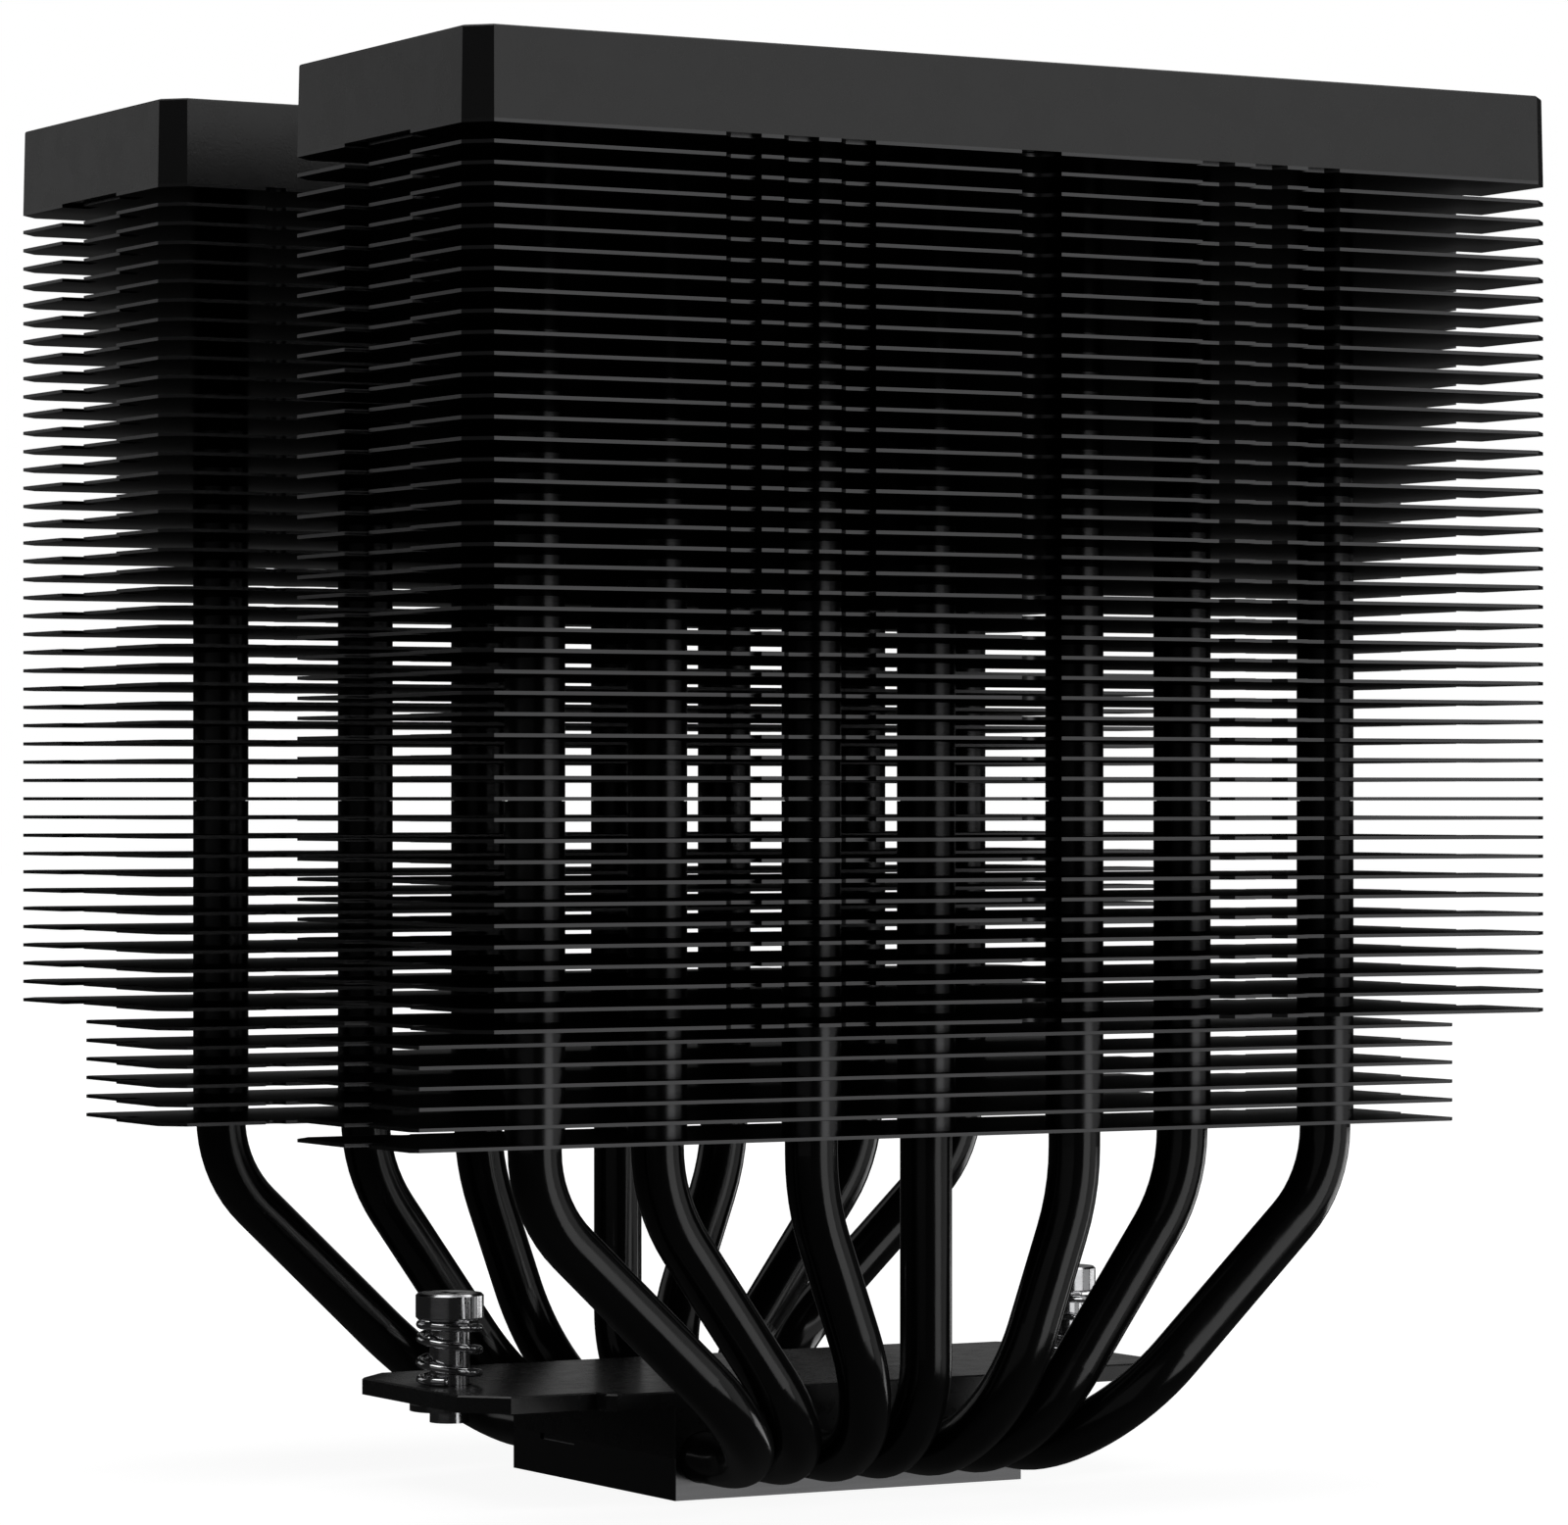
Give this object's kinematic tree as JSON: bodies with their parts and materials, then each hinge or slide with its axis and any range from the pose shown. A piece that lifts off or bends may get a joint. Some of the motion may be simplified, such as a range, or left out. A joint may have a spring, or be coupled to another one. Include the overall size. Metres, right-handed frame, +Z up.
{
  "type": "cpu tower cooler",
  "caption": "Black twin-tower processor heatsink: stacked fins on bent heat pipes, a contact base and a crossbar with captive spring screws.",
  "frame": {"origin": "middle of the base's underside, where it meets the processor, which is also the middle of the whole heatsink's footprint", "axes": "+X along the fins' long side, +Y from the front tower to the rear tower, +Z up from the base to the covers"},
  "size_m": [0.1418, 0.126, 0.1634],
  "materials": {
    "cover_plastic": "satin black moulded plastic, fine grain",
    "fin_coating": "black coated, satin",
    "pipe_plating": null,
    "base_plating": null,
    "block_coating": "black coated, satin",
    "bracket_coating": "black coated steel, satin",
    "screw_steel": "black nickel plated, turned, glossy",
    "spring_steel": "dark spring wire, glossy",
    "ring_steel": "dark stamped spring steel"
  },
  "bodies": {
    "heatsink": {"front_cover": "cover_plastic", "front_fins": "fin_coating", "front_short_fins": "fin_coating", "rear_cover": "cover_plastic", "rear_fins": "fin_coating", "rear_short_fins": "fin_coating", "heat_pipe_1": "pipe_plating", "heat_pipe_2": "pipe_plating", "heat_pipe_3": "pipe_plating", "heat_pipe_4": "pipe_plating", "heat_pipe_5": "pipe_plating", "heat_pipe_6": "pipe_plating", "heat_pipe_7": "pipe_plating", "base_plate": "base_plating", "base_block": "block_coating", "mounting_bracket": "bracket_coating", "left_spring": "spring_steel", "right_spring": "spring_steel"},
    "left_ring": {"left_retaining_ring": "ring_steel"},
    "left_screw": {"left_screw": "screw_steel"},
    "right_ring": {"right_retaining_ring": "ring_steel"},
    "right_screw": {"right_screw": "screw_steel"}
  },
  "joints": [
    {"name": "left_screw_press", "type": "slide", "parent": "heatsink", "child": "left_ring", "axis": [0, 0, -1], "range_m": [0, 0.0035], "stiffness_N_per_m": 2000, "deforming": ["left_spring"]},
    {"name": "left_screw_turn", "type": "hinge", "parent": "left_ring", "child": "left_screw", "pos_m": [-0.0423, 0, 0.015], "axis": [0, 0, 1], "continuous": true},
    {"name": "right_screw_press", "type": "slide", "parent": "heatsink", "child": "right_ring", "axis": [0, 0, -1], "range_m": [0, 0.0035], "stiffness_N_per_m": 2000, "deforming": ["right_spring"]},
    {"name": "right_screw_turn", "type": "hinge", "parent": "right_ring", "child": "right_screw", "pos_m": [0.0423, 0, 0.015], "axis": [0, 0, 1], "continuous": true}
  ]
}
